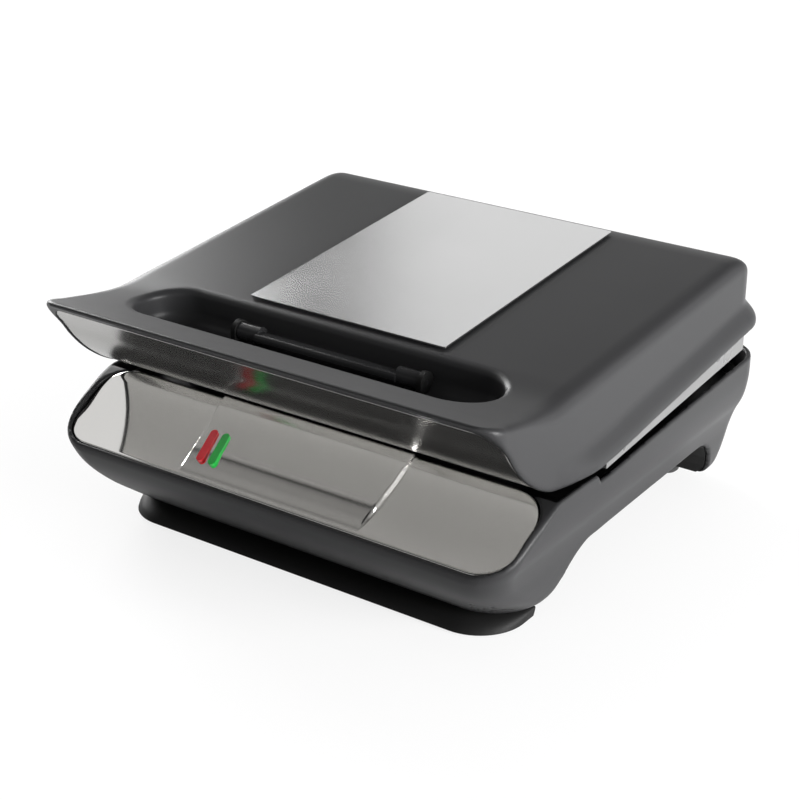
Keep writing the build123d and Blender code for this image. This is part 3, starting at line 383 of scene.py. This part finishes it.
levels = [
    (7.5, 131.0, -98.5, 135.0, 30.0),
    (13.0, 136.0, -105.8, 138.5, 31.0),
    (20.0, 138.5, -114.8, 139.8, 28.0),
    (28.0, 140.5, -124.5, 140.4, 24.0),
    (40.0, 143.0, -135.0, 141.2, 20.0),
    (50.0, 146.0, -139.8, 142.2, 19.0),
    (58.0, 149.5, -141.0, 143.2, 20.0),
    (68.0, 151.5, -141.0, 143.8, 22.0),
    (78.0, 152.0, -141.0, 144.0, 22.0),
    (88.0, 152.0, -141.0, 144.0, 22.0),
]
base_half = curve([(z, half) for z, half, front, rear, radius in levels])
base_front = curve([(z, front) for z, half, front, rear, radius in levels])
base_rear = curve([(z, rear) for z, half, front, rear, radius in levels])
base_corner = curve([(z, radius) for z, half, front, rear, radius in levels])
base_rim = curve([
    (-146.0, 51.5), (-141.0, 54.8), (-126.0, 63.0), (-115.6, 69.0), (-105.0, 73.8), (-95.0, 78.0),
    (-85.0, 80.6), (-76.0, 80.6), (-52.0, 79.8), (-46.0, 79.4), (3.3, 82.4), (123.7, 88.2), (150.0, 89.0),
])
arch = curve([
    (-78.0, 4.0), (-72.0, 7.5), (-66.0, 13.0), (-60.0, 19.0), (-55.0, 26.0), (-48.0, 31.5),
    (-41.0, 34.5), (-30.0, 35.1), (50.0, 37.3), (80.0, 38.2), (87.0, 38.0), (94.0, 36.5),
    (102.0, 31.0), (108.5, 22.0), (112.5, 14.0), (115.0, 7.5), (117.0, 1.0),
])
rear_corner = 22.0
plate_step = 4.2
base_floor = 7.5
floor_rounding = 2.5
deck = 3.2
deck_rear = -88.0
gland_x = 60.0
gland_z = 30.0
gland_radius = 6.7
gland_front = 120.0

# The glossy panel lies on a slope, from its low front edge to its high rear edge
low_y, low_z = -137.5, 55.5
high_y, high_z = -95.0, 77.5
tilt = math.atan2(high_z - low_z, high_y - low_y)
middle_y = (high_y + low_y) / 2
middle_z = (high_z + low_z) / 2
reach = math.hypot(high_y - low_y, high_z - low_z) / 2
panel_half = 147.0
panel_overrun = 8.0
panel_end = reach + panel_overrun
panel_gap = 0.6
opening_corner = 20.0
opening_depth = 5.5
opening_top = 20.0
opening_edge = 0.9


def rim_height(y):
    """Height of the base's rim, with the step down beside the plates."""
    return base_rim(y) - plate_step * smooth(y, -50.5, -47.0)


def base_outside(x, y, z, half, corner, up):
    """Full block of the base, arched from below between its feet."""
    outline = plan(x, y, half, base_front(z), base_rear(z), corner)
    edge = 3.6 - 2.2 * smooth(y, -120.0, -90.0)
    solid = both(outline, up, edge)
    solid = both(solid, base_floor - z, floor_rounding)
    return both(solid, arch(y) - z, floor_rounding)


def panel_opening(x, y, z):
    """Cut in the base's front that takes the glossy panel."""
    along = (y - middle_y) * math.cos(tilt) + (z - middle_z) * math.sin(tilt)
    away = -(y - middle_y) * math.sin(tilt) + (z - middle_z) * math.cos(tilt)
    side = np.abs(x) - (panel_half + panel_gap)
    ends = np.abs(along - panel_overrun / 2) - reach - (panel_overrun / 2 + panel_gap)
    return common(both(side, ends, opening_corner), away - opening_top, -opening_depth - away)


def base_distance(x, y, z):
    """Base: a shell with a deck under the panel, and the openings for the panel and the gland."""
    up = (z - rim_height(y)) / np.sqrt(1 + slope_of(base_rim, y) ** 2)
    half = base_half(z)
    rear = smooth(y, 0.0, 100.0)
    corner = base_corner(z) * (1.0 - rear) + rear_corner * rear
    room = plan(x, y, half - wall, base_front(z) + wall, base_rear(z) - wall, corner - 1.0)
    front_deck = common(-(up + deck), y - deck_rear)
    room = common(room, -front_deck)
    solid = common(base_outside(x, y, z, half, corner, up), -room)
    solid = both(solid, -panel_opening(x, y, z), opening_edge)
    gland = common(np.hypot(x - gland_x, z - gland_z) - gland_radius, gland_front - y)
    return common(solid, -gland)


base = skin("base_housing", base_distance, (-155.0, -145.0, 4.0), (155.0, 148.0, 86.0), skin_step)
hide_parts("base_shell")
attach(base, "base")

# Glossy panel on the base's lip: dished, with a raised middle

raised_half = 64.0
raised_taper = 4.0
raised_height = 2.6
dish_depth = 2.0


def panel_point(x, s, depth):
    """Point of the base's panel: s runs up the slope and depth runs into it."""
    side = raised_half - raised_taper * (0.5 - s / (2 * reach))
    across = 1.0 - smooth(np.abs(x), side - 1.0, side + 1.0)
    raised = raised_height * across * smooth(s, -reach + 1.0, -reach + 22.0)
    dish = -dish_depth * (1.0 - np.minimum(s / reach, 1.0) ** 2)
    height = dish + raised - depth
    y = middle_y + s * math.cos(tilt) - height * math.sin(tilt)
    z = middle_z + s * math.sin(tilt) + height * math.cos(tilt)
    return np.stack([x, y, z], axis=1)


base_panel = sheet("base_glossy_panel", panel_half, -reach, panel_end, opening_corner - panel_gap,
                   panel_point, 2.5, edge=0.7, pitch=0.5)
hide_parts("base_front_panel")
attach(base_panel, "base")

# Glossy panel under the lid's lip

lip_half = 144.4
lip_start = 4.0
lip_corner = 11.0
lip_inset = 0.5
profile_y = np.linspace(-144.0, -86.0, 400)
profile_z = lid_bottom(profile_y)
lengths = np.concatenate(([0.0], np.cumsum(np.hypot(np.diff(profile_y), np.diff(profile_z)))))


def lip_point(x, s, depth):
    """Point of the lid's front panel: s runs down and back along the lip's underside."""
    y = np.interp(s, lengths, profile_y)
    z = lid_bottom(y)
    slope = slope_of(lid_bottom, y)
    size = np.sqrt(1 + slope ** 2)
    inward = lip_inset + depth
    return np.stack([x, y - slope / size * inward, z + inward / size], axis=1)


lip_panel = sheet("lid_glossy_panel", lip_half, lip_start, float(lengths[-1]), lip_corner,
                  lip_point, 2.4, edge=0.7, pitch=1.2)
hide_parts("lid_front_panel")
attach(lip_panel, "lid")


# Materials

def links(tree, source, target):
    """Link from one socket to another."""
    tree.links.new(source, target)


def noise(tree, scale, detail, place):
    """Value of a noise texture."""
    node = tree.nodes.new("ShaderNodeTexNoise")
    node.inputs["Scale"].default_value = scale
    node.inputs["Detail"].default_value = detail
    links(tree, place, node.inputs["Vector"])
    return node.outputs["Fac"]


def mean(tree, one, two):
    """Half of the sum of two values."""
    total = tree.nodes.new("ShaderNodeMath")
    total.operation = "MULTIPLY_ADD"
    total.inputs[1].default_value = 0.5
    links(tree, one, total.inputs[0])
    half = tree.nodes.new("ShaderNodeMath")
    half.operation = "MULTIPLY"
    half.inputs[1].default_value = 0.5
    links(tree, two, half.inputs[0])
    links(tree, half.outputs[0], total.inputs[2])
    return total.outputs[0]


def material(name, colour, roughness, metallic=0.0, grain=1500.0, bump=0.02, variation=0.15, spread=0.08,
             specular=0.5, coat=0.0, brushed=None):
    """Moulded, painted or metal finish with grain, soft colour variation and wear of gloss."""
    mat = bpy.data.materials.new(name)
    mat.use_nodes = True
    tree = mat.node_tree
    shader = tree.nodes["Principled BSDF"]
    shader.inputs["Metallic"].default_value = metallic
    shader.inputs["Specular IOR Level"].default_value = specular
    shader.inputs["Coat Weight"].default_value = coat
    shader.inputs["Coat Roughness"].default_value = 0.05
    place = tree.nodes.new("ShaderNodeTexCoord")
    stretch = tree.nodes.new("ShaderNodeMapping")
    links(tree, place.outputs["Object"], stretch.inputs["Vector"])
    if brushed:
        stretch.inputs["Scale"].default_value = brushed
    fine = noise(tree, grain, 3.0, stretch.outputs["Vector"])
    broad = noise(tree, 14.0, 4.0, place.outputs["Object"])
    blend = tree.nodes.new("ShaderNodeMix")
    blend.data_type = "RGBA"
    dark = [c * (1.0 - variation) for c in colour]
    light = [min(1.0, c * (1.0 + variation)) for c in colour]
    blend.inputs["A"].default_value = (*dark, 1.0)
    blend.inputs["B"].default_value = (*light, 1.0)
    links(tree, mean(tree, fine, broad), blend.inputs["Factor"])
    links(tree, blend.outputs["Result"], shader.inputs["Base Color"])
    gloss = tree.nodes.new("ShaderNodeMapRange")
    gloss.inputs["From Min"].default_value = 0.3
    gloss.inputs["From Max"].default_value = 0.7
    gloss.inputs["To Min"].default_value = max(0.0, roughness - spread)
    gloss.inputs["To Max"].default_value = min(1.0, roughness + spread)
    links(tree, broad, gloss.inputs["Value"])
    links(tree, gloss.outputs["Result"], shader.inputs["Roughness"])
    raised = tree.nodes.new("ShaderNodeBump")
    raised.inputs["Strength"].default_value = bump
    raised.inputs["Distance"].default_value = 0.0004
    links(tree, fine, raised.inputs["Height"])
    links(tree, raised.outputs["Normal"], shader.inputs["Normal"])
    return mat


def polished(name, colour, roughness):
    """Smooth mirror-like sheet."""
    return material(
        name, colour, roughness, metallic=1.0, grain=500.0, bump=0.002, variation=0.04, spread=0.01)


def lens(name, colour):
    """Coated plastic of an indicator lens."""
    return material(name, colour, 0.08, grain=300.0, bump=0.01, variation=0.15, coat=0.6)


# A finish for every material slot, and lip_panel for the lid's glossy panel
finishes = {
    "housing_plastic": material(
        "satin_grey_housing", (0.024, 0.024, 0.025), 0.40,
        grain=2600.0, bump=0.03, variation=0.12, spread=0.02, specular=0.16),
    "gloss_panel": polished("polished_dark_panel", (0.80, 0.79, 0.77), 0.06),
    "lip_panel": polished("polished_lip_panel", (0.36, 0.355, 0.345), 0.24),
    "top_metal": material(
        "satin_metal_plate", (0.70, 0.70, 0.70), 0.24, metallic=1.0,
        grain=900.0, bump=0.03, variation=0.05, spread=0.03, brushed=(60.0, 1.0, 1.0)),
    # Black plastic of the bottom cover. Its black skirt below the base's front parting line is a painted
    # shadow: a black sheet put where the contact shadow under the front lies.
    "black_plastic": material(
        "black_plastic", (0.008, 0.008, 0.008), 0.6, grain=1800.0, bump=0.08, variation=0.3, specular=0.2),
    "liner_plastic": material(
        "liner_plastic", (0.11, 0.11, 0.11), 0.3, grain=1800.0, bump=0.04, variation=0.15),
    "latch_plastic": material(
        "latch_plastic", (0.022, 0.022, 0.023), 0.22, grain=1500.0, bump=0.03, variation=0.2),
    "red_lens": lens("red_lens", (0.62, 0.02, 0.03)),
    "green_lens": lens("green_lens", (0.02, 0.40, 0.06)),
    "lamp_glass": material(
        "lamp_glass", (0.85, 0.55, 0.40), 0.15, grain=300.0, bump=0.01, variation=0.1),
    "coated_plate": material(
        "coated_cooking_plate", (0.028, 0.028, 0.029), 0.38,
        grain=1600.0, bump=0.25, variation=0.4, spread=0.08),
    "steel": material(
        "plain_steel", (0.50, 0.50, 0.51), 0.3, metallic=1.0, grain=900.0, bump=0.05, variation=0.12),
    "pan_metal": material(
        "rolled_aluminium", (0.66, 0.67, 0.68), 0.28, metallic=1.0,
        grain=500.0, bump=0.05, variation=0.1, brushed=(1.0, 20.0, 1.0)),
    "ceramic_white": material(
        "off_white_insulator", (0.78, 0.75, 0.68), 0.5, grain=900.0, bump=0.06, variation=0.06),
    "wire_red": material(
        "silicone_sleeve", (0.28, 0.03, 0.02), 0.55, grain=900.0, bump=0.08, variation=0.15),
    "foot_rubber": material(
        "foot_rubber", (0.025, 0.025, 0.025), 0.75, grain=900.0, bump=0.25, variation=0.3),
}
slots = {item["node"]: item["material_slot"] for item in frame["record"]["subparts"]}
for name, obj in nodes.items():
    for item in obj.material_slots:
        item.material = finishes[slots[name]]
lid.data.materials.append(finishes["housing_plastic"])
base.data.materials.append(finishes["housing_plastic"])
base_panel.data.materials.append(finishes["gloss_panel"])
lip_panel.data.materials.append(finishes["lip_panel"])

# Softened edges on the plain nodes that stay

soft_edges = {
    "top_plate": 0.35,
    "latch_lever": 0.8,
    "latch_ears": 0.6,
    "rubber_feet": 0.8,
    "lower_grill_plate": 0.7,
    "upper_grill_plate": 0.7,
    "cord_gland": 0.5,
    "red_lamp_lens": 0.7,
    "green_lamp_lens": 0.7,
    "lid_liner": 0.8,
}
for name, width in soft_edges.items():
    bevel = nodes[name].modifiers.new("soft_edges", "BEVEL")
    bevel.width = width * MM
    bevel.segments = 3
    bevel.limit_method = "ANGLE"
    bevel.angle_limit = math.radians(40)


# Floor

def mixed(tree, share, one, two):
    """Mix of two shaders: share is the part of the second."""
    node = tree.nodes.new("ShaderNodeMixShader")
    links(tree, share, node.inputs["Fac"])
    links(tree, one, node.inputs[1])
    links(tree, two, node.inputs[2])
    return node.outputs[0]


def pale_floor():
    """Matte floor that the camera sees almost white."""
    mat = bpy.data.materials.new("pale_floor")
    mat.use_nodes = True
    tree = mat.node_tree
    tree.nodes.clear()
    out = tree.nodes.new("ShaderNodeOutputMaterial")
    matte = tree.nodes.new("ShaderNodeBsdfDiffuse")
    matte.inputs["Color"].default_value = (0.93, 0.93, 0.93, 1.0)
    white = tree.nodes.new("ShaderNodeEmission")
    white.inputs["Strength"].default_value = 1.0
    path = tree.nodes.new("ShaderNodeLightPath")
    share = tree.nodes.new("ShaderNodeMath")
    share.operation = "MULTIPLY"
    share.inputs[1].default_value = 0.8
    links(tree, path.outputs["Is Camera Ray"], share.inputs[0])
    pale = mixed(tree, share.outputs[0], matte.outputs[0], white.outputs[0])
    links(tree, pale, out.inputs["Surface"])
    return mat


floor_mesh = bpy.data.meshes.new("floor")
floor_mesh.from_pydata([(-9, -9, 0), (9, -9, 0), (9, 9, 0), (-9, 9, 0)], [], [(0, 1, 2, 3)])
floor = bpy.data.objects.new("floor", floor_mesh)
bpy.context.collection.objects.link(floor)
floor_mesh.materials.append(pale_floor())


# Studio

def backdrop(tree, strength):
    """White background of that strength."""
    node = tree.nodes.new("ShaderNodeBackground")
    node.inputs["Color"].default_value = (1.0, 1.0, 1.0, 1.0)
    node.inputs["Strength"].default_value = strength
    return node


def reflected_walls(tree):
    """What glossy surfaces mirror: walls that are white near the horizon, under a dim ceiling."""
    walls = backdrop(tree, 1.0)
    heading = tree.nodes.new("ShaderNodeTexCoord")
    parts = tree.nodes.new("ShaderNodeSeparateXYZ")
    links(tree, heading.outputs["Generated"], parts.inputs[0])
    ceiling = tree.nodes.new("ShaderNodeMapRange")
    ceiling.interpolation_type = "SMOOTHSTEP"
    ceiling.inputs["From Min"].default_value = 0.04
    ceiling.inputs["From Max"].default_value = 0.46
    ceiling.inputs["To Min"].default_value = 1.0
    ceiling.inputs["To Max"].default_value = 0.03
    links(tree, parts.outputs["Z"], ceiling.inputs["Value"])
    links(tree, ceiling.outputs["Result"], walls.inputs["Strength"])
    return walls.outputs[0]


def studio():
    """World: white to the camera, weaker as a light on matte surfaces, and walls to glossy ones."""
    world = bpy.data.worlds.new("studio")
    world.use_nodes = True
    tree = world.node_tree
    tree.nodes.clear()
    out = tree.nodes.new("ShaderNodeOutputWorld")
    white = backdrop(tree, 1.0)
    lit = backdrop(tree, 0.45)
    path = tree.nodes.new("ShaderNodeLightPath")
    plain = tree.nodes.new("ShaderNodeMath")
    plain.operation = "MAXIMUM"
    links(tree, path.outputs["Is Camera Ray"], plain.inputs[0])
    links(tree, path.outputs["Is Transmission Ray"], plain.inputs[1])
    mirrored = mixed(tree, path.outputs["Is Glossy Ray"], lit.outputs[0], reflected_walls(tree))
    links(tree, mixed(tree, plain.outputs[0], mirrored, white.outputs[0]), out.inputs["Surface"])
    return world


def lamp(name, place, aim, size, power):
    """Soft rectangular lamp."""
    data = bpy.data.lights.new(name, "AREA")
    data.shape = "RECTANGLE"
    data.size, data.size_y = size
    data.energy = power
    obj = bpy.data.objects.new(name, data)
    obj.location = place
    obj.rotation_mode = "QUATERNION"
    obj.rotation_quaternion = (Vector(aim) - Vector(place)).to_track_quat("-Z", "Y")
    bpy.context.collection.objects.link(obj)


bpy.context.scene.world = studio()
heart = (0, 0, 0.1)
lamp("left_soft_box", (-1.6, 0.7, 0.8), heart, (0.9, 1.0), 38.0)
lamp("rear_soft_box", (-0.72, 1.85, 1.2), heart, (1.3, 1.0), 3.6)
lamp("panel_soft_box", (-1.76, 0.05, 1.4), (-1.6, 0.05, 0.1), (1.1, 1.4), 3.6)
lamp("right_soft_box", (1.5, 0.0, 0.35), heart, (0.9, 0.5), 52.0)

# Camera, as calibrated from the photograph

azimuth = math.radians(35.19)
elevation = math.radians(24.39)
view = Vector((
    -math.sin(azimuth) * math.cos(elevation),
    math.cos(azimuth) * math.cos(elevation),
    -math.sin(elevation),
))
camera = bpy.data.objects.new("camera", bpy.data.cameras.new("camera"))
bpy.context.collection.objects.link(camera)
camera.data.sensor_width = 36.0
camera.data.lens = 83.79
camera.data.clip_start = 0.05
camera.data.clip_end = 50.0
camera.location = (0.559, -0.804, 0.508)
camera.rotation_mode = "QUATERNION"
camera.rotation_quaternion = view.to_track_quat("-Z", "Y")
bpy.context.scene.camera = camera
bpy.context.scene.view_settings.view_transform = "Standard"
